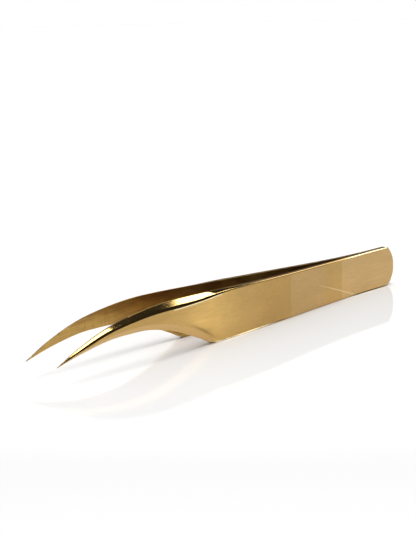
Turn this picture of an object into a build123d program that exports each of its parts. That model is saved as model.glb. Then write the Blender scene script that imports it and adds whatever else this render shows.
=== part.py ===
from build123d import *
import os

# Curved-tip tweezers, in millimetres.
# +X runs from the tail to the tips, +Z is up, and the tweezers stand on the
# lower edges of their two arms. The origin is on the floor, under the middle
# of the length, on the plane of symmetry. The left arm is at +Y.

# Overall sizes
LENGTH = 118.0
TAIL_X = -LENGTH / 2

# Tail: the two blades lie face to face from the end to the bend
TAIL_HEIGHT = 9.65
TAIL_THICKNESS = 0.85
TAIL_END_DEPTH = 2.5
TAIL_TOP_RADIUS = 1.8
TAIL_BOTTOM_RADIUS = 2.6
BEND = 9.0

# Flexure: each blade is cut just ahead of the bend, as a knuckle about an
# upright axis, so that the arm can turn
FLEXURE = 12.0
FLEXURE_RADIUS = 1.2
FLEXURE_CLEARANCE = 0.04

# The arm is drawn by the curves below. Each point is a distance from the
# tail and the value there, and the values between the points are smooth.

# Plan view: the inner face's distance from the plane of symmetry
INNER_FACE = [
    (BEND, 0.0),
    (13.0, 0.12),
    (24.0, 0.62),
    (48.0, 2.45),
    (72.0, 3.72),
    (90.0, 4.28),
    (108.0, 4.38),
    (LENGTH, 4.38),
]

# Plan view: the blade's thickness
THICKNESS = [
    (BEND, TAIL_THICKNESS),
    (24.0, 0.92),
    (48.0, 1.20),
    (72.0, 1.38),
    (84.0, 1.38),
    (96.0, 1.22),
    (104.0, 0.98),
    (112.0, 0.63),
    (LENGTH, 0.12),
]

# Side view: the upper edge's height
UPPER_EDGE = [
    (BEND, TAIL_HEIGHT),
    (24.0, 9.80),
    (48.0, 10.40),
    (64.0, 10.95),
    (80.0, 11.50),
    (88.0, 11.50),
    (96.0, 10.80),
    (104.0, 9.40),
    (112.0, 6.80),
    (LENGTH, 4.15),
]

# Side view: the lower edge's height. It is on the floor up to the shoulder,
# and then rises to the arch under the beak.
SHOULDER = 71.0
LOWER_EDGE = [
    (SHOULDER, 0.0),
    (73.0, 0.32),
    (76.0, 1.70),
    (84.0, 4.80),
    (92.0, 6.70),
    (98.0, 7.00),
    (104.0, 6.80),
    (112.0, 5.50),
    (LENGTH, 4.03),
]

# Bevel along the upper outer corner: its height, and its width as a part of
# the thickness
EDGE_BREAK = 0.12
UPPER_BEVEL_HEIGHT = [
    (50.0, EDGE_BREAK),
    (60.0, 0.22),
    (76.0, 1.10),
    (84.0, 1.50),
    (92.0, 1.33),
    (108.0, 0.83),
    (LENGTH, 0.04),
]
UPPER_BEVEL_WIDTH = [
    (50.0, 0.10),
    (76.0, 0.78),
    (90.0, 0.84),
    (LENGTH, 0.80),
]

# Bevel along the lower outer corner, in the same way
LOWER_BEVEL_HEIGHT = [
    (SHOULDER, EDGE_BREAK),
    (76.0, 1.15),
    (82.0, 1.40),
    (92.0, 1.20),
    (110.0, 0.65),
    (LENGTH, 0.04),
]
LOWER_BEVEL_WIDTH = [
    (SHOULDER, 0.10),
    (80.0, 0.62),
    (LENGTH, 0.66),
]

# The arm is lofted through sections, at even steps along each stretch. The
# steps are short at the shoulder, where the lower edge turns.
STRETCHES = [
    (BEND, 69.0, 10),
    (69.0, 75.0, 6),
    (75.0, 111.0, 9),
    (111.0, LENGTH, 4),
]

# Spot welds: round nuggets sunk half in each blade
WELD_RADIUS = 1.5
WELD_DEPTH = 0.40
WELD_CLEARANCE = 0.01
WELDS = {"rear_spot_weld": 3.8, "front_spot_weld": 7.6}

# Spare size around the solids that only trim others
MARGIN = 2.0


def smooth_value(points, x):
    """Read a curve at x, smoothly between its points and flat outside them."""
    if x <= points[0][0]:
        return points[0][1]
    if x >= points[-1][0]:
        return points[-1][1]
    slopes = []
    for i in range(len(points)):
        x0, v0 = points[max(i - 1, 0)]
        x1, v1 = points[min(i + 1, len(points) - 1)]
        slopes.append((v1 - v0) / (x1 - x0))
    slopes[0] = 0.0
    i = max(k for k in range(len(points) - 1) if points[k][0] <= x)
    (x0, v0), (x1, v1) = points[i], points[i + 1]
    span = x1 - x0
    u = (x - x0) / span
    ease = u * u * (3 - 2 * u)
    start = u * (1 - u) * (1 - u) * span * slopes[i]
    end = u * u * (1 - u) * span * slopes[i + 1]
    return v0 + (v1 - v0) * ease + start - end


def section(x):
    """The left arm's six-sided section at distance x from the tail."""
    inner = smooth_value(INNER_FACE, x)
    thickness = smooth_value(THICKNESS, x)
    outer = inner + thickness
    top = smooth_value(UPPER_EDGE, x)
    bottom = smooth_value(LOWER_EDGE, x)
    top_bevel = smooth_value(UPPER_BEVEL_HEIGHT, x)
    top_bevel_width = thickness * smooth_value(UPPER_BEVEL_WIDTH, x)
    bottom_bevel = smooth_value(LOWER_BEVEL_HEIGHT, x)
    bottom_bevel_width = thickness * smooth_value(LOWER_BEVEL_WIDTH, x)
    row_x = TAIL_X + x
    return Wire.make_polygon(
        [
            (row_x, inner, bottom),
            (row_x, inner, top),
            (row_x, outer - top_bevel_width, top),
            (row_x, outer, top - top_bevel),
            (row_x, outer, bottom + bottom_bevel),
            (row_x, outer - bottom_bevel_width, bottom),
        ]
    )


def tail_end_outline():
    """The tail in side view, as an XZ face: a shallow arc, round corners."""
    start_x = TAIL_X + TAIL_END_DEPTH
    end_x = TAIL_X + LENGTH
    with BuildSketch(Plane.XZ) as sketch:
        with BuildLine():
            ThreePointArc((start_x, 0), (TAIL_X, TAIL_HEIGHT / 2), (start_x, TAIL_HEIGHT))
            Line((start_x, TAIL_HEIGHT), (end_x, TAIL_HEIGHT))
            Line((end_x, TAIL_HEIGHT), (end_x, 0))
            Line((end_x, 0), (start_x, 0))
        make_face()
        corners = sketch.vertices().group_by(Axis.X)[0].sort_by(Axis.Z)
        fillet(corners[0], TAIL_BOTTOM_RADIUS)
        fillet(corners[1], TAIL_TOP_RADIUS)
    return sketch.sketch


def tail_plate():
    """The flat tail of the left blade, from its end to the bend."""
    plate = extrude(Face(section(BEND)), amount=BEND, dir=(-1, 0, 0))
    outline = extrude(tail_end_outline(), amount=LENGTH, both=True)
    return plate & outline


def arm_loft():
    """The left blade from the bend to the tip."""
    sections = [section(BEND)]
    for start, end, steps in STRETCHES:
        step = (end - start) / steps
        sections += [section(start + step * (i + 1)) for i in range(steps)]
    return Solid.make_loft(sections)


def knuckle(radius):
    """Everything on the tail's side of the flexure, out to a round face."""
    axis_y = smooth_value(INNER_FACE, FLEXURE) + smooth_value(THICKNESS, FLEXURE) / 2
    height = TAIL_HEIGHT + 2 * MARGIN
    length = FLEXURE + MARGIN
    at_axis = Pos(TAIL_X + FLEXURE, axis_y, TAIL_HEIGHT / 2)
    block = at_axis * Pos(-length / 2, 0, 0) * Box(length, 2 * MARGIN, height)
    return block + at_axis * Cylinder(radius, height)


def weld(name, clearance=0.0):
    """One weld nugget, or the hole that it fills."""
    plane = Plane.XZ.offset(-WELD_DEPTH - clearance)
    disc = Pos(TAIL_X + WELDS[name], TAIL_HEIGHT / 2) * Circle(WELD_RADIUS + clearance)
    return extrude(plane * disc, amount=2 * (WELD_DEPTH + clearance))


def left_tail():
    """The tail end of the left blade, with the holes for the welds."""
    blade = tail_plate() + arm_loft()
    tail = blade & knuckle(FLEXURE_RADIUS)
    for name in WELDS:
        tail -= weld(name, WELD_CLEARANCE)
    return tail


def left_arm():
    """The left blade from the flexure to the tip."""
    return arm_loft() - knuckle(FLEXURE_RADIUS + FLEXURE_CLEARANCE)


os.makedirs("parts", exist_ok=True)
for part_name, shape in {"tail": left_tail(), "arm": left_arm()}.items():
    export_step(shape, "parts/left_" + part_name + ".step")
    export_step(mirror(shape, Plane.XZ), "parts/right_" + part_name + ".step")
for weld_name in WELDS:
    export_step(weld(weld_name), "parts/" + weld_name + ".step")
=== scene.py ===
import math

import bpy
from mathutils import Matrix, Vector


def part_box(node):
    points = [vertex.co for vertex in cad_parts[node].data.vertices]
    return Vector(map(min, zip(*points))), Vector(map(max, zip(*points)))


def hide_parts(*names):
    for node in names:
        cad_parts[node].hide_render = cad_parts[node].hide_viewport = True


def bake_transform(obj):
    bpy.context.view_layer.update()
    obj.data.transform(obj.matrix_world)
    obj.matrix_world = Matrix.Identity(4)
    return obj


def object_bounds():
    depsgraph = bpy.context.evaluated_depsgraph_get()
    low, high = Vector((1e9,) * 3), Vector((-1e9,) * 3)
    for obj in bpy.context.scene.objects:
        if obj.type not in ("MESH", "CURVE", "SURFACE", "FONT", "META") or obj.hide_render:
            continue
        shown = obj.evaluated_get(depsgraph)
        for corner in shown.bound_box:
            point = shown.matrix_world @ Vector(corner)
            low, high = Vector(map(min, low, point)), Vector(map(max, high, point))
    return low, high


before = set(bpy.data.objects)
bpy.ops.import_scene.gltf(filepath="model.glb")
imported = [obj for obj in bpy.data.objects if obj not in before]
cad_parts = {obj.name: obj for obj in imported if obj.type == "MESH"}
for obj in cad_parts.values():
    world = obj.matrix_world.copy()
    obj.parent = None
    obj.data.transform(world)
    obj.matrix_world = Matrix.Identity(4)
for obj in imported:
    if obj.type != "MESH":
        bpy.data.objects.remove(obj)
cad_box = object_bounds()

MM = 0.001

# ---------------------------------------------------------------------------
# The blade's shape, in millimetres from the tail. The outlines, the inner face and the
# thickness are the CAD model's. The bevels are drawn in more detail than there.
# ---------------------------------------------------------------------------

LENGTH = (cad_box[1][0] - cad_box[0][0]) / MM
TAIL_X = cad_box[0][0] / MM
TAIL_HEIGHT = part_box("left_tail")[1][2] / MM
TAIL_THICKNESS = 0.85
TAIL_END_DEPTH = 2.5
TAIL_TOP_RADIUS = 1.8
TAIL_BOTTOM_RADIUS = 2.6
# Each arm bends between these two
BEND = 9.0
SHOULDER = 71.0

INNER_FACE = [(BEND, 0.0), (13.0, 0.12), (24.0, 0.62), (48.0, 2.45), (72.0, 3.72),
              (90.0, 4.28), (108.0, 4.38), (LENGTH, 4.38)]
THICKNESS = [(BEND, TAIL_THICKNESS), (24.0, 0.92), (48.0, 1.20), (72.0, 1.38), (84.0, 1.38),
             (96.0, 1.22), (104.0, 0.98), (112.0, 0.63), (LENGTH, 0.12)]
UPPER_EDGE = [(BEND, TAIL_HEIGHT), (24.0, 9.80), (48.0, 10.40), (64.0, 10.95), (80.0, 11.50),
              (88.0, 11.50), (96.0, 10.80), (104.0, 9.40), (112.0, 6.80), (LENGTH, 4.15)]
LOWER_EDGE = [(SHOULDER, 0.0), (73.0, 0.32), (76.0, 1.70), (84.0, 4.80), (92.0, 6.70),
              (98.0, 7.00), (104.0, 6.80), (112.0, 5.50), (LENGTH, 4.03)]
EDGE_BREAK = 0.12
# Each inner face stays this far from the plane of symmetry, so that the two don't touch
HALF_GAP = 0.003

# The bevels along the outer corners. A width is a share of the thickness.
UPPER_BEVEL_HEIGHT = [(2.0, 0.22), (18.0, 0.22), (28.0, 0.26), (56.0, 0.30), (64.0, 0.42),
                      (68.0, 0.62), (72.0, 0.98), (76.0, 1.35), (84.0, 1.70), (92.0, 1.45),
                      (108.0, 0.88), (LENGTH, 0.04)]
UPPER_BEVEL_WIDTH = [(2.0, 0.24), (58.0, 0.20), (64.0, 0.44), (68.0, 0.72), (72.0, 0.82),
                     (88.0, 0.86), (100.0, 0.70), (108.0, 0.56), (LENGTH, 0.50)]
# Share of the upper bevel's height that its steep foot takes
FOOT_PART = [(20.0, 0.10), (28.0, 0.40), (68.0, 0.48), (76.0, 0.34), (88.0, 0.40), (100.0, 0.40),
             (106.0, 0.56), (LENGTH, 0.56)]
LOWER_BEVEL_HEIGHT = [(2.0, 0.24), (18.0, 0.24), (24.0, EDGE_BREAK), (42.0, EDGE_BREAK),
                      (50.0, 0.32), (SHOULDER, 0.34), (76.0, 1.15), (82.0, 1.40),
                      (92.0, 1.20), (110.0, 0.65), (LENGTH, 0.04)]
LOWER_BEVEL_WIDTH = [(2.0, 0.15), (42.0, 0.15), (50.0, 0.07), (SHOULDER, 0.07), (80.0, 0.40),
                     (LENGTH, 0.50)]

# Roundings of a section's corners, and how far the flat beside a bevel reaches.
# CORNER_ROUND and SUPPORT are shares of the thickness.
FOOT_TILT = math.radians(18)
FOOT_ROUND = 0.06
CORNER_ROUND = 0.06
SHARP = 0.01
SUPPORT = 0.22

# A step above the lower bevel. Where its depth is negative it is a fine raised rim.
STEP_HEIGHT = [(2.0, 0.03), (5.0, 0.13), (16.0, 0.13), (20.0, 0.03), (44.0, 0.03),
               (50.0, 0.13), (66.0, 0.13), (SHOULDER, 0.03), (LENGTH, 0.03)]
STEP_DEPTH = [(2.0, 0.0), (5.0, -0.08), (16.0, -0.08), (20.0, 0.0), (44.0, 0.0),
              (50.0, -0.09), (66.0, -0.09), (SHOULDER, 0.0), (74.0, 0.06), (80.0, 0.05),
              (92.0, 0.02), (100.0, 0.0)]

# Shallow hollow beside the shoulder: distance from the tail, height above the lower
# edge, reach along and across, and depth
HOLLOW_X, HOLLOW_ABOVE = 75.0, 2.3
HOLLOW_ALONG, HOLLOW_ACROSS = 4.5, 1.2
HOLLOW_DEPTH = 0.17

# Where the painted highlight lines and the polished top start and end
BRIGHT_LINE = (69.0, 85.0)
TAIL_RIM = (3.0, 19.0)
HANDLE_RIM = (46.0, 70.0)
POLISHED_TOP = 98.0

# Material slots of a blade. LEDGE and TOP faces get one of the first four in slot_at.
OUTER, EDGE, INNER, BRIGHT, LOWER, LEDGE, TOP = 0, 1, 2, 3, 4, 5, 6

# Mesh density
ARC_STEPS = 4
TAIL_STEPS = 10
CORNER_STEPS = 8
FACE_ROWS = 14
HANDLE_STEP = 0.8
BEAK_STEP = 0.3
DENSE_FROM = SHOULDER - 4
# The tail's arc starts this far from its middle, and the last station before the tip and
# the slopes stay this far inside it
TAIL_START = 0.25
TIP_MARGIN = 0.1


def smooth_value(points, x):
    """Read a curve at x, smoothly between its points and flat outside them."""
    if x <= points[0][0]:
        return points[0][1]
    if x >= points[-1][0]:
        return points[-1][1]
    slopes = []
    for i in range(len(points)):
        x0, v0 = points[max(i - 1, 0)]
        x1, v1 = points[min(i + 1, len(points) - 1)]
        slopes.append((v1 - v0) / (x1 - x0))
    slopes[0] = 0.0
    i = max(k for k in range(len(points) - 1) if points[k][0] <= x)
    (x0, v0), (x1, v1) = points[i], points[i + 1]
    span = x1 - x0
    u = (x - x0) / span
    ease = u * u * (3 - 2 * u)
    start = u * (1 - u) * (1 - u) * span * slopes[i]
    end = u * u * (1 - u) * span * slopes[i + 1]
    return v0 + (v1 - v0) * ease + start - end


def slope_at(points, x):
    """Slope of a curve at x."""
    d = 0.05
    return (smooth_value(points, x + d) - smooth_value(points, x - d)) / (2 * d)


def tail_arc(small):
    """Half of the tail end's outline as (x, z, nx, nz), from the middle up. small is
    the corner's radius."""
    half = TAIL_HEIGHT / 2
    big = (half * half + TAIL_END_DEPTH ** 2) / (2 * TAIL_END_DEPTH)
    corner_z = TAIL_HEIGHT - small
    corner_x = big - math.sqrt((big - small) ** 2 - (corner_z - half) ** 2)
    meet = math.atan2(corner_z - half, corner_x - big)
    points = []
    first = math.pi - TAIL_START / big
    for i in range(TAIL_STEPS):
        a = first + (meet - first) * i / TAIL_STEPS
        points.append((big + big * math.cos(a), half + big * math.sin(a),
                       math.cos(a), math.sin(a)))
    for i in range(CORNER_STEPS + 1):
        a = meet + (math.pi / 2 - meet) * i / CORNER_STEPS
        points.append((corner_x + small * math.cos(a), corner_z + small * math.sin(a),
                       math.cos(a), math.sin(a)))
    return points


def stations():
    """Distances from the tail, from the end of the tail arc to the tip."""
    xs = []
    x = TAIL_END_DEPTH + TAIL_TOP_RADIUS
    while x < LENGTH - TIP_MARGIN:
        xs.append(x)
        x += HANDLE_STEP if x < DENSE_FROM else BEAK_STEP
    return xs + [LENGTH]


def outlines():
    """Upper and lower outlines of the blade, as equal lists of (x, z, nx, nz)."""
    upper = tail_arc(TAIL_TOP_RADIUS)
    lower = [(x, TAIL_HEIGHT - z, nx, -nz) for x, z, nx, nz in tail_arc(TAIL_BOTTOM_RADIUS)]
    for x in stations():
        slope = slope_at(UPPER_EDGE, min(x, LENGTH - TIP_MARGIN))
        norm = math.hypot(1, slope)
        upper.append((x, smooth_value(UPPER_EDGE, x), -slope / norm, 1 / norm))
        slope = slope_at(LOWER_EDGE, min(x, LENGTH - TIP_MARGIN))
        norm = math.hypot(1, slope)
        lower.append((x, smooth_value(LOWER_EDGE, x), slope / norm, -1 / norm))
    return upper, lower


def rounded(keys):
    """A section's points from its keys (out, depth, radius, slot): each inner corner
    becomes a short curve. slot is the material from the point to the next one."""
    out = [(keys[0][0], keys[0][1], keys[0][3])]
    for before, corner, after in zip(keys, keys[1:], keys[2:]):
        p, q, r = before[:2], corner[:2], after[:2]
        back = math.dist(p, q)
        ahead = math.dist(q, r)
        d = min(corner[2], 0.45 * back, 0.45 * ahead)
        start = [q[k] + (p[k] - q[k]) * d / max(back, 1e-9) for k in (0, 1)]
        end = [q[k] + (r[k] - q[k]) * d / max(ahead, 1e-9) for k in (0, 1)]
        for j in range(ARC_STEPS + 1):
            u = j / ARC_STEPS
            point = [(1 - u) ** 2 * start[k] + 2 * u * (1 - u) * q[k] + u * u * end[k]
                     for k in (0, 1)]
            out.append((*point, corner[3]))
    return out + [(keys[-1][0], keys[-1][1], keys[-1][3])]


def upper_profile(x):
    """The upper edge's section, from the outer face over the edge to the inner face,
    as (how far out from the outline, how far in from the outer face, slot)."""
    t = smooth_value(THICKNESS, x)
    height = smooth_value(UPPER_BEVEL_HEIGHT, x)
    width = t * smooth_value(UPPER_BEVEL_WIDTH, x)
    foot = height * smooth_value(FOOT_PART, x)
    inset = min(foot * math.tan(FOOT_TILT), width / 2)
    return rounded([
        (-height - SUPPORT * t, 0.0, 0.0, BRIGHT),
        (-height, 0.0, FOOT_ROUND, EDGE),
        (-height + foot / 2, inset / 2, SHARP, EDGE),
        (-height + foot, inset, FOOT_ROUND, EDGE),
        (0.0, width, CORNER_ROUND * t, TOP),
        (0.0, t, CORNER_ROUND * t, INNER),
        (-SUPPORT * t, t, 0.0, INNER),
    ])


def lower_profile(x):
    """The lower edge's section, in the same way, with the step or the raised rim."""
    t = smooth_value(THICKNESS, x)
    height = smooth_value(LOWER_BEVEL_HEIGHT, x)
    width = t * smooth_value(LOWER_BEVEL_WIDTH, x)
    step = smooth_value(STEP_DEPTH, x)
    return rounded([
        (-height - SUPPORT * t, 0.0, 0.0, OUTER),
        (-height, 0.0, SHARP, LEDGE),
        (-height + smooth_value(STEP_HEIGHT, x), step, SHARP, LOWER),
        (-height / 2, (width + step) / 2, SHARP, LOWER),
        (0.0, width + step, CORNER_ROUND * t, INNER),
        (0.0, t, CORNER_ROUND * t, INNER),
        (-SUPPORT * t, t, 0.0, INNER),
    ])


def plan_point(x, inwards):
    """Distance from the plane of symmetry: inwards is 0 on the outer face and 1 on the
    inner one."""
    inner = smooth_value(INNER_FACE, x) + HALF_GAP
    outer = smooth_value(INNER_FACE, x) + smooth_value(THICKNESS, x)
    return outer + (inner - outer) * inwards


def outer_relief(x, above_lower):
    """Depth of the hollow in the outer face beside the shoulder's bevel."""
    along = math.exp(-((x - HOLLOW_X) / HOLLOW_ALONG) ** 2)
    across = math.exp(-((above_lower - HOLLOW_ABOVE) / HOLLOW_ACROSS) ** 2)
    return HOLLOW_DEPTH * along * across


def slot_at(slot, x):
    """The material slot at distance x: some finishes and the painted highlight lines are only on
    part of the length.
    """
    if slot == BRIGHT:
        return BRIGHT if BRIGHT_LINE[0] < x < BRIGHT_LINE[1] else OUTER
    if slot == LEDGE:
        on_rim = TAIL_RIM[0] < x < TAIL_RIM[1] or HANDLE_RIM[0] < x < HANDLE_RIM[1]
        return BRIGHT if on_rim else EDGE
    if slot == LOWER:
        return LOWER if x > SHOULDER + 1 else EDGE
    if slot == TOP:
        return EDGE if x > POLISHED_TOP else INNER
    return slot


def blade_mesh(name, side):
    """One blade from tail to tip, as a closed mesh. side is +1 left, -1 right."""
    upper, lower = outlines()
    bands = []
    for outline, profile in ((upper, upper_profile), (lower, lower_profile)):
        band = []
        for x, z, nx, nz in outline:
            t = smooth_value(THICKNESS, x)
            band.append([(x + nx * out, z + nz * out, depth / t)
                         for out, depth, _ in profile(x)])
        bands.append(band)
    top, bottom = bands
    top_slots = [slot for _, _, slot in upper_profile(LENGTH)]
    bottom_slots = [slot for _, _, slot in lower_profile(LENGTH)]
    count = len(top)
    width = len(top[0])
    verts = []
    faces = []
    slots = []

    def add(x, z, inwards, relief=0.0):
        y = plan_point(x, inwards) - relief
        verts.append(((TAIL_X + x) * MM, side * y * MM, z * MM))
        return len(verts) - 1

    def between(a, b, u):
        return tuple(a[k] + (b[k] - a[k]) * u for k in range(3))

    top_ids = [[add(*p) for p in row] for row in top]
    bottom_ids = [[add(*p) for p in row] for row in bottom]

    def column(i, k, with_relief):
        """Vertices straight across the blade from the upper edge to the lower one."""
        ids = [top_ids[i][k]]
        for j in range(1, FACE_ROWS):
            x, z, inwards = between(top[i][k], bottom[i][k], j / FACE_ROWS)
            relief = outer_relief(x, z - lower[i][1]) if with_relief else 0.0
            ids.append(add(x, z, inwards, relief))
        return ids + [bottom_ids[i][k]]

    outer = [column(i, 0, True) for i in range(count)]
    inner = [column(i, width - 1, False) for i in range(count)]

    def quad(a, b, c, d, slot):
        faces.append((a, b, c, d) if side > 0 else (d, c, b, a))
        slots.append(slot)

    for i in range(count - 1):
        for k in range(width - 1):
            quad(top_ids[i][k], top_ids[i][k + 1], top_ids[i + 1][k + 1], top_ids[i + 1][k],
                 slot_at(top_slots[k], upper[i][0]))
            quad(bottom_ids[i][k + 1], bottom_ids[i][k], bottom_ids[i + 1][k],
                 bottom_ids[i + 1][k + 1], slot_at(bottom_slots[k], lower[i][0]))
        for j in range(FACE_ROWS):
            quad(outer[i][j], outer[i + 1][j], outer[i + 1][j + 1], outer[i][j + 1], OUTER)
            quad(inner[i + 1][j], inner[i][j], inner[i][j + 1], inner[i + 1][j + 1], INNER)
    for i in (0, count - 1):
        between_faces = [column(i, k, False) for k in range(1, width - 1)]
        columns = [outer[i]] + between_faces + [inner[i]]
        for k in range(width - 1):
            for j in range(FACE_ROWS):
                corners = [columns[k][j], columns[k][j + 1],
                           columns[k + 1][j + 1], columns[k + 1][j]]
                if i == 0:
                    quad(*corners, EDGE)
                else:
                    quad(*reversed(corners), EDGE)
    mesh = bpy.data.meshes.new(name)
    mesh.from_pydata(verts, [], faces)
    mesh.validate()
    for polygon, slot in zip(mesh.polygons, slots):
        polygon.material_index = slot
        polygon.use_smooth = True
    obj = bpy.data.objects.new(name, mesh)
    bpy.context.scene.collection.objects.link(obj)
    return obj


# ---------------------------------------------------------------------------
# Materials
# ---------------------------------------------------------------------------

# The pale gold is painted highlight and the shoulder gold is painted sheen. On the outer face
# the tail, cool and dull golds are painted reflection bands, and the dull gold is also painted
# shade in the hollow.
GOLD = (0.632, 0.400, 0.134, 1.0)
PAINTED_HIGHLIGHT_GOLD = (0.98, 0.84, 0.50, 1.0)
SHOULDER_SHEEN_GOLD = (0.885, 0.578, 0.192, 1.0)
TAIL_GOLD = (0.707, 0.467, 0.197, 1.0)
COOL_GOLD = (0.617, 0.400, 0.157, 1.0)
DULL_GOLD = (0.580, 0.357, 0.114, 1.0)
WARM_GOLD = (0.70, 0.455, 0.135, 1.0)

# Places of the finishes and of the painted reflection, sheen, highlight and shade, in
# millimetres from the tail. A pair is a start and an end.
# Painted reflection bands along the outer face, and where the last one fades back
REFLECTION_BANDS = (22.0, 29.5, 43.7)
REFLECTION_BAND_END = (50.0, 60.0)
# Painted highlight on the tail's edges and on the handle's lower edge
PALE_TAIL = (17.0, 22.0)
PALE_HANDLE = (44.0, 54.0)
# Painted shade on the inner faces towards the root
ROOT_SHADE = (56.0, 80.0)
BEAK_MARKS = (84.0, 100.0)
# Heights between which the painted highlight on the lower edge ends
PALE_HEIGHT = (1.0, 2.0)
# A fine line of painted highlight, between two places on the side of the blade, and its soft
# edge
HIGHLIGHT_LINE = ((17.0, 0.5), (34.5, 6.2))
HIGHLIGHT_LINE_FADE = (22.0, 36.0)
HIGHLIGHT_LINE_EDGE = (0.04, 0.18)
# Patches beside the shoulder, a painted sheen and painted shade in the hollow: distance from the
# tail, height, and reach in both
SHOULDER_SHEEN_PATCH = (74.5, 5.0, 8.8, 8.5)
HOLLOW_SHADE_PATCH = (74.5, 3.0, 2.6, 1.6)
# In metres, as the bump node takes it
BUMP_DEPTH = 0.00003


class Nodes:
    """A material and short ways to add and join its nodes."""

    def __init__(self, name):
        self.material = bpy.data.materials.new(name)
        self.material.use_nodes = True
        self.tree = self.material.node_tree
        self.shader = self.tree.nodes["Principled BSDF"]
        self.shader.inputs["Metallic"].default_value = 1.0
        coords = self.tree.nodes.new("ShaderNodeTexCoord")
        self.place = coords.outputs["Object"]
        split = self.tree.nodes.new("ShaderNodeSeparateXYZ")
        self.tree.links.new(self.place, split.inputs[0])
        self.x = self.math("SUBTRACT", split.outputs[0], TAIL_X * MM)
        self.z = split.outputs[2]

    def put(self, socket, value):
        if isinstance(value, bpy.types.NodeSocket):
            self.tree.links.new(value, socket)
        else:
            socket.default_value = value

    def math(self, operation, a, b=0.0):
        node = self.tree.nodes.new("ShaderNodeMath")
        node.operation = operation
        self.put(node.inputs[0], a)
        self.put(node.inputs[1], b)
        return node.outputs[0]

    def ramp(self, value, low, high, start=0.0, end=1.0):
        """Smoothly from start to end as value goes from low to high."""
        node = self.tree.nodes.new("ShaderNodeMapRange")
        node.interpolation_type = "SMOOTHSTEP"
        self.put(node.inputs["Value"], value)
        for name, number in zip(("From Min", "From Max", "To Min", "To Max"),
                                (low, high, start, end)):
            node.inputs[name].default_value = number
        return node.outputs["Result"]

    def along(self, low, high):
        """0 before low and 1 after high, in millimetres from the tail."""
        return self.between(self.x, (low, high))

    def between(self, value, limits, start=0.0, end=1.0):
        """A ramp of a place, with its limits in millimetres."""
        return self.ramp(value, limits[0] * MM, limits[1] * MM, start, end)

    def noise(self, scale, detail=4.0, offset=(0.0, 0.0, 0.0)):
        mapping = self.tree.nodes.new("ShaderNodeMapping")
        mapping.inputs["Scale"].default_value = scale
        mapping.inputs["Location"].default_value = offset
        self.put(mapping.inputs["Vector"], self.place)
        node = self.tree.nodes.new("ShaderNodeTexNoise")
        node.inputs["Scale"].default_value = 1.0
        node.inputs["Detail"].default_value = detail
        self.put(node.inputs["Vector"], mapping.outputs["Vector"])
        return node.outputs["Fac"]

    def mix(self, factor, a, b):
        node = self.tree.nodes.new("ShaderNodeMix")
        node.data_type = "RGBA"
        self.put(node.inputs[0], factor)
        self.put(node.inputs[6], a)
        self.put(node.inputs[7], b)
        return node.outputs[2]

    def shade(self, color, factor):
        """Color times factor."""
        node = self.tree.nodes.new("ShaderNodeVectorMath")
        node.operation = "SCALE"
        self.put(node.inputs[0], color)
        self.put(node.inputs["Scale"], factor)
        return node.outputs[0]

    def finish(self, color, roughness, height, bump):
        self.put(self.shader.inputs["Base Color"], color)
        self.put(self.shader.inputs["Roughness"], roughness)
        node = self.tree.nodes.new("ShaderNodeBump")
        node.inputs["Strength"].default_value = bump
        node.inputs["Distance"].default_value = BUMP_DEPTH
        self.put(node.inputs["Height"], height)
        self.put(self.shader.inputs["Normal"], node.outputs["Normal"])
        return self.material

    def patch(self, x, z, reach_x, reach_z):
        """1 at a place on the side of the blade, fading out. All in millimetres."""
        dx = self.math("DIVIDE", self.math("SUBTRACT", self.x, x * MM), reach_x * MM)
        dz = self.math("DIVIDE", self.math("SUBTRACT", self.z, z * MM), reach_z * MM)
        square = self.math("ADD", self.math("MULTIPLY", dx, dx), self.math("MULTIPLY", dz, dz))
        return self.math("EXPONENT", self.math("MULTIPLY", square, -1.0))


def painted_highlight_line(n):
    """1 on the fine line of painted highlight that runs up from the lower edge near the tail."""
    (x0, z0), (x1, z1) = HIGHLIGHT_LINE
    slope = (z1 - z0) / (x1 - x0)
    rise = n.math("MULTIPLY", n.math("SUBTRACT", n.x, x0 * MM), slope)
    off = n.math("ABSOLUTE", n.math("SUBTRACT", n.math("SUBTRACT", n.z, rise), z0 * MM))
    line = n.between(off, HIGHLIGHT_LINE_EDGE, 1.0, 0.0)
    fade = n.between(n.x, HIGHLIGHT_LINE_FADE, 1.0, 0.0)
    ends = n.math("MULTIPLY", n.along(x0 - 0.5, x0 + 0.5), fade)
    return n.math("MULTIPLY", line, ends)


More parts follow.
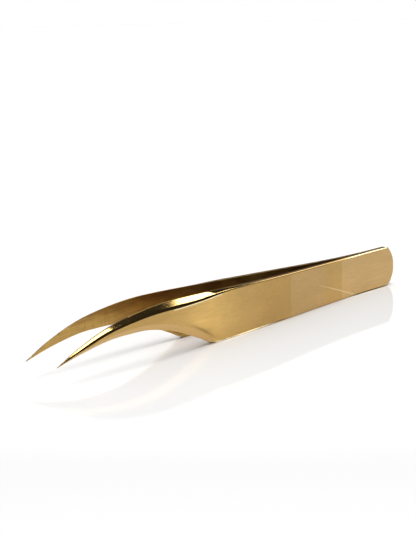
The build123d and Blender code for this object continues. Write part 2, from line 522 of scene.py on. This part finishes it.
def brushed_gold():
    """The outer faces: brushed along the blade, with painted reflection bands, a painted sheen,
    painted shade and a painted highlight line.
    """
    n = Nodes("brushed_gold")
    strokes = n.noise((90.0, 9000.0, 9000.0), 5.0)
    fine = n.noise((400.0, 22000.0, 22000.0), 3.0)
    cloud = n.noise((70.0, 70.0, 210.0), 3.0)
    # Painted reflection bands: the tone steps along the blade to stand for the brighter and
    # darker reflections the face catches
    color = n.mix(n.along(REFLECTION_BANDS[0] - 0.2, REFLECTION_BANDS[0] + 0.2), TAIL_GOLD, GOLD)
    color = n.mix(n.along(REFLECTION_BANDS[1] - 0.2, REFLECTION_BANDS[1] + 0.2), color, COOL_GOLD)
    color = n.mix(n.along(REFLECTION_BANDS[2] - 0.3, REFLECTION_BANDS[2] + 0.3), color, DULL_GOLD)
    color = n.mix(n.along(*REFLECTION_BAND_END), color, GOLD)
    # Painted sheen: lighter near the shoulder, where the face catches more light
    color = n.mix(n.patch(*SHOULDER_SHEEN_PATCH), color, SHOULDER_SHEEN_GOLD)
    # Painted shade: darker in the hollow beside the shoulder
    color = n.mix(n.math("MULTIPLY", n.patch(*HOLLOW_SHADE_PATCH), 0.55), color, DULL_GOLD)
    color = n.shade(color, n.ramp(cloud, 0.3, 0.7, 0.95, 1.05))
    color = n.shade(color, n.ramp(strokes, 0.25, 0.75, 0.90, 1.07))
    # Painted highlight on the fine line near the tail
    color = n.mix(n.math("MULTIPLY", painted_highlight_line(n), 0.7), color, PAINTED_HIGHLIGHT_GOLD)
    rough = n.ramp(strokes, 0.3, 0.7, 0.30, 0.38)
    return n.finish(color, rough, n.math("ADD", strokes, fine), 0.5)


def polished_gold():
    """The bevels and the thin edges, with painted highlight making the tail's edges and the
    handle's lower edge paler.
    """
    n = Nodes("polished_gold")
    fine = n.noise((200.0, 4000.0, 4000.0), 4.0)
    cloud = n.noise((150.0, 150.0, 500.0), 3.0, (0.3, 0.1, 0.2))
    # Painted highlight: pale on the tail's edges and on the handle's lower edge
    tail = n.between(n.x, PALE_TAIL, 1.0, 0.0)
    handle = n.math("SUBTRACT", n.along(*PALE_HANDLE), n.along(SHOULDER, SHOULDER + 1.5))
    low = n.math("MULTIPLY", handle, n.between(n.z, PALE_HEIGHT, 1.0, 0.0))
    color = n.mix(n.math("MAXIMUM", tail, low), GOLD, PAINTED_HIGHLIGHT_GOLD)
    color = n.shade(color, n.ramp(cloud, 0.3, 0.7, 0.93, 1.05))
    return n.finish(color, n.ramp(fine, 0.3, 0.7, 0.06, 0.11), fine, 0.04)


def painted_highlight_gold():
    """Painted highlight: the thin pale lines along the edges."""
    n = Nodes("painted_highlight_gold")
    fine = n.noise((300.0, 3000.0, 3000.0), 4.0)
    color = n.shade(PAINTED_HIGHLIGHT_GOLD[:3], n.ramp(fine, 0.3, 0.7, 0.9, 1.0))
    return n.finish(color, n.ramp(fine, 0.3, 0.7, 0.08, 0.16), fine, 0.08)


def milled_gold():
    """The lower bevel: ground along the blade, a little duller than the face."""
    n = Nodes("milled_gold")
    strokes = n.noise((120.0, 8000.0, 8000.0), 5.0, (0.4, 0.2, 0.0))
    color = n.shade(COOL_GOLD[:3], n.ramp(strokes, 0.3, 0.7, 0.84, 0.93))
    return n.finish(color, n.ramp(strokes, 0.3, 0.7, 0.30, 0.36), strokes, 0.4)


def satin_gold():
    """The inner faces: duller, with faint marks, and painted shade towards the root."""
    n = Nodes("satin_gold")
    strokes = n.noise((160.0, 7000.0, 7000.0), 5.0, (0.2, 0.0, 0.1))
    cloud = n.noise((160.0, 160.0, 420.0), 4.0, (0.1, 0.3, 0.0))
    color = n.mix(n.ramp(cloud, 0.35, 0.65), DULL_GOLD, WARM_GOLD)
    color = n.shade(color, n.ramp(strokes, 0.3, 0.7, 0.80, 1.12))
    # Faint darker streaks on the inner faces of the beak
    streak_noise = n.noise((2500.0, 900.0, 260.0), 5.0, (0.7, 0.2, 0.4))
    beak = n.along(*BEAK_MARKS)
    marks = n.math("MULTIPLY", beak, n.ramp(streak_noise, 0.52, 0.66, 0.0, 0.16))
    color = n.shade(color, n.math("SUBTRACT", 1.0, marks))
    # Painted shade: darker towards the root, where the gap between the blades narrows
    color = n.shade(color, n.between(n.x, ROOT_SHADE, 0.72, 1.0))
    rough = n.ramp(cloud, 0.3, 0.7, 0.34, 0.46)
    return n.finish(color, rough, strokes, 0.3)


def weld_metal():
    """The nuggets between the blades: bare grey steel."""
    n = Nodes("weld_metal")
    grain = n.noise((3000.0,) * 3, 4.0)
    color = n.mix(grain, (0.3, 0.3, 0.32, 1.0), (0.5, 0.5, 0.52, 1.0))
    return n.finish(color, n.ramp(grain, 0.3, 0.7, 0.4, 0.6), grain, 0.6)


# ---------------------------------------------------------------------------
# Pieces
# ---------------------------------------------------------------------------

def add_blades():
    """Both blades, with the materials in the order of the slots."""
    materials = (brushed_gold(), polished_gold(), satin_gold(), painted_highlight_gold(), milled_gold())
    for side_name, side in (("left", 1), ("right", -1)):
        blade = blade_mesh(side_name + "_blade", side)
        for material in materials:
            blade.data.materials.append(material)
        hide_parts(side_name + "_arm", side_name + "_tail")
        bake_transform(blade)


def finish_welds():
    material = weld_metal()
    for node in ("rear_spot_weld", "front_spot_weld"):
        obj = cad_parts[node]
        obj.data.materials.clear()
        obj.data.materials.append(material)


# ---------------------------------------------------------------------------
# Studio
# ---------------------------------------------------------------------------

# In metres and degrees. An azimuth of 0 is on the -Y side, and 90 on the +X side.
FLOOR_HALF = 1.2
FLOOR_GAP = 0.00001
FLOOR_TURN = 41
FLOOR_WHITE = (0.92, 0.92, 0.92, 1)
LIGHT_TARGET = (0, 0, 0.005)
OVERHEAD = (131, 84)
# name, azimuth, elevation, distance, width, height, radiance, roll
PANELS = [
    ("right_panel", 263.5, 41.0, 0.8, 0.34, 0.07, 8.0, 17),
    ("right_fill", 263, 31, 0.85, 0.62, 0.15, 2.2, 0),
    ("rim_panel", 308, 14, 1.0, 0.7, 0.18, 0.3, 0),
    ("top_panel", 206, 56, 0.8, 0.24, 0.44, 7.0, 0),
    ("tip_panel", 324, 38, 1.0, 0.5, 0.35, 0.5, 0),
    ("back_panel", 60, 45, 0.9, 0.5, 0.3, 3.0, 0),
    ("left_panel", 118, 50, 0.9, 0.4, 0.3, 3.0, 0),
]
# Backdrops that only the floor sees: their sides, as azimuth and share of full
# brightness, and their panels, as in the list above but without an azimuth
BACKDROP_SIDES = ((311, 1.0), (41, 0.8), (131, 0.5), (221, 0.5))
BACKDROP_PANELS = (("backdrop_low", 4, 1.2, 2.4, 0.22, 0.95),
                   ("backdrop_high", 13, 1.2, 1.6, 0.16, 0.5))
# World brightness by height: 0 at the horizon and below it, 1 straight up
WORLD_STOPS = [(0.0, 0.035), (0.95, 0.035), (0.98, 1.2), (1.0, 1.6)]


def add_floor():
    half = FLOOR_HALF
    mesh = bpy.data.meshes.new("floor")
    mesh.from_pydata([(-half, -half, 0), (half, -half, 0), (half, half, 0), (-half, half, 0)],
                     [], [(0, 1, 2, 3)])
    floor = bpy.data.objects.new("floor", mesh)
    bpy.context.scene.collection.objects.link(floor)
    material = bpy.data.materials.new("floor_white")
    material.use_nodes = True
    shader = material.node_tree.nodes["Principled BSDF"]
    shader.inputs["Base Color"].default_value = FLOOR_WHITE
    shader.inputs["Roughness"].default_value = 0.06
    shader.inputs["Specular IOR Level"].default_value = 0.36
    mesh.materials.append(material)
    floor.location.z = cad_box[0][2] - FLOOR_GAP
    floor.rotation_euler.z = math.radians(FLOOR_TURN)
    return floor


def aim(obj, target, roll=0.0):
    direction = Vector(target) - obj.location
    obj.rotation_euler = direction.to_track_quat("-Z", "Y").to_euler()
    if roll:
        obj.rotation_euler.rotate_axis("Z", roll)


def direction_of(azimuth, elevation):
    """Unit vector towards a camera at this azimuth and elevation: azimuth 0 on the -Y side, 90
    on the +X side.
    """
    a, e = math.radians(azimuth), math.radians(elevation)
    return Vector((math.sin(a) * math.cos(e), -math.cos(a) * math.cos(e), math.sin(e)))


def add_light(name, azimuth, elevation, distance, width, height, radiance, roll=0.0):
    """A soft panel, seen only in reflections. radiance is its brightness."""
    light = bpy.data.lights.new(name, "AREA")
    light.shape = "RECTANGLE"
    light.size = width
    light.size_y = height
    light.energy = radiance * math.pi * width * height
    obj = bpy.data.objects.new(name, light)
    bpy.context.scene.collection.objects.link(obj)
    obj.location = direction_of(azimuth, elevation) * distance
    obj.visible_diffuse = False
    aim(obj, LIGHT_TARGET, math.radians(roll))
    return obj


def light_only(light, target):
    """Make a light fall on one object alone."""
    receivers = bpy.data.collections.new(light.name + "_receivers")
    receivers.objects.link(target)
    light.light_linking.receiver_collection = receivers


def add_overhead(name, angle, energy):
    """Overhead light that whitens the floor and casts its shadows. angle is its width."""
    light = bpy.data.lights.new(name, "SUN")
    light.angle = math.radians(angle)
    light.energy = energy
    obj = bpy.data.objects.new(name, light)
    bpy.context.scene.collection.objects.link(obj)
    obj.location = direction_of(*OVERHEAD)
    obj.visible_glossy = False
    aim(obj, (0, 0, 0))


def add_world():
    """Dark surroundings with a soft light overhead. The camera sees plain white."""
    world = bpy.data.worlds.new("studio")
    bpy.context.scene.world = world
    world.use_nodes = True
    tree = world.node_tree
    background = tree.nodes["Background"]
    coords = tree.nodes.new("ShaderNodeTexCoord")
    split = tree.nodes.new("ShaderNodeSeparateXYZ")
    ramp = tree.nodes.new("ShaderNodeValToRGB")
    tree.links.new(coords.outputs["Generated"], split.inputs["Vector"])
    tree.links.new(split.outputs["Z"], ramp.inputs["Fac"])
    tree.links.new(ramp.outputs["Color"], background.inputs["Color"])
    rays = tree.nodes.new("ShaderNodeLightPath")
    white = tree.nodes.new("ShaderNodeBackground")
    white.inputs["Color"].default_value = (1, 1, 1, 1)
    mix = tree.nodes.new("ShaderNodeMixShader")
    tree.links.new(rays.outputs["Is Camera Ray"], mix.inputs[0])
    tree.links.new(background.outputs[0], mix.inputs[1])
    tree.links.new(white.outputs[0], mix.inputs[2])
    tree.links.new(mix.outputs[0], tree.nodes["World Output"].inputs["Surface"])
    while len(ramp.color_ramp.elements) < len(WORLD_STOPS):
        ramp.color_ramp.elements.new(0.5)
    for element, (position, value) in zip(ramp.color_ramp.elements, WORLD_STOPS):
        element.position = position
        element.color = (value, value, value, 1)


def add_camera():
    azimuth, elevation, roll = 130.77, 12.78, -1.22
    distance = 0.3759
    pivot = Vector((0.001, 0, 0.004))
    data = bpy.data.cameras.new("camera")
    data.sensor_fit = "VERTICAL"
    data.sensor_height = 24.0
    data.lens = 73.5
    data.shift_x = -0.0459
    data.shift_y = 0.0614
    data.clip_start = 0.01
    camera = bpy.data.objects.new("camera", data)
    bpy.context.scene.collection.objects.link(camera)
    camera.location = pivot + direction_of(azimuth, elevation) * distance
    aim(camera, pivot, math.radians(roll))
    bpy.context.scene.camera = camera


add_blades()
finish_welds()
floor = add_floor()
add_world()
add_overhead("overhead", 30, 1.5)
add_overhead("dome", 165, 2.15)
for panel in PANELS:
    add_light(*panel)
for side, share in BACKDROP_SIDES:
    for name, elevation, distance, width, height, radiance in BACKDROP_PANELS:
        panel = add_light(name, side, elevation, distance, width, height, radiance * share)
        light_only(panel, floor)
add_camera()
bpy.context.scene.view_settings.view_transform = "Standard"
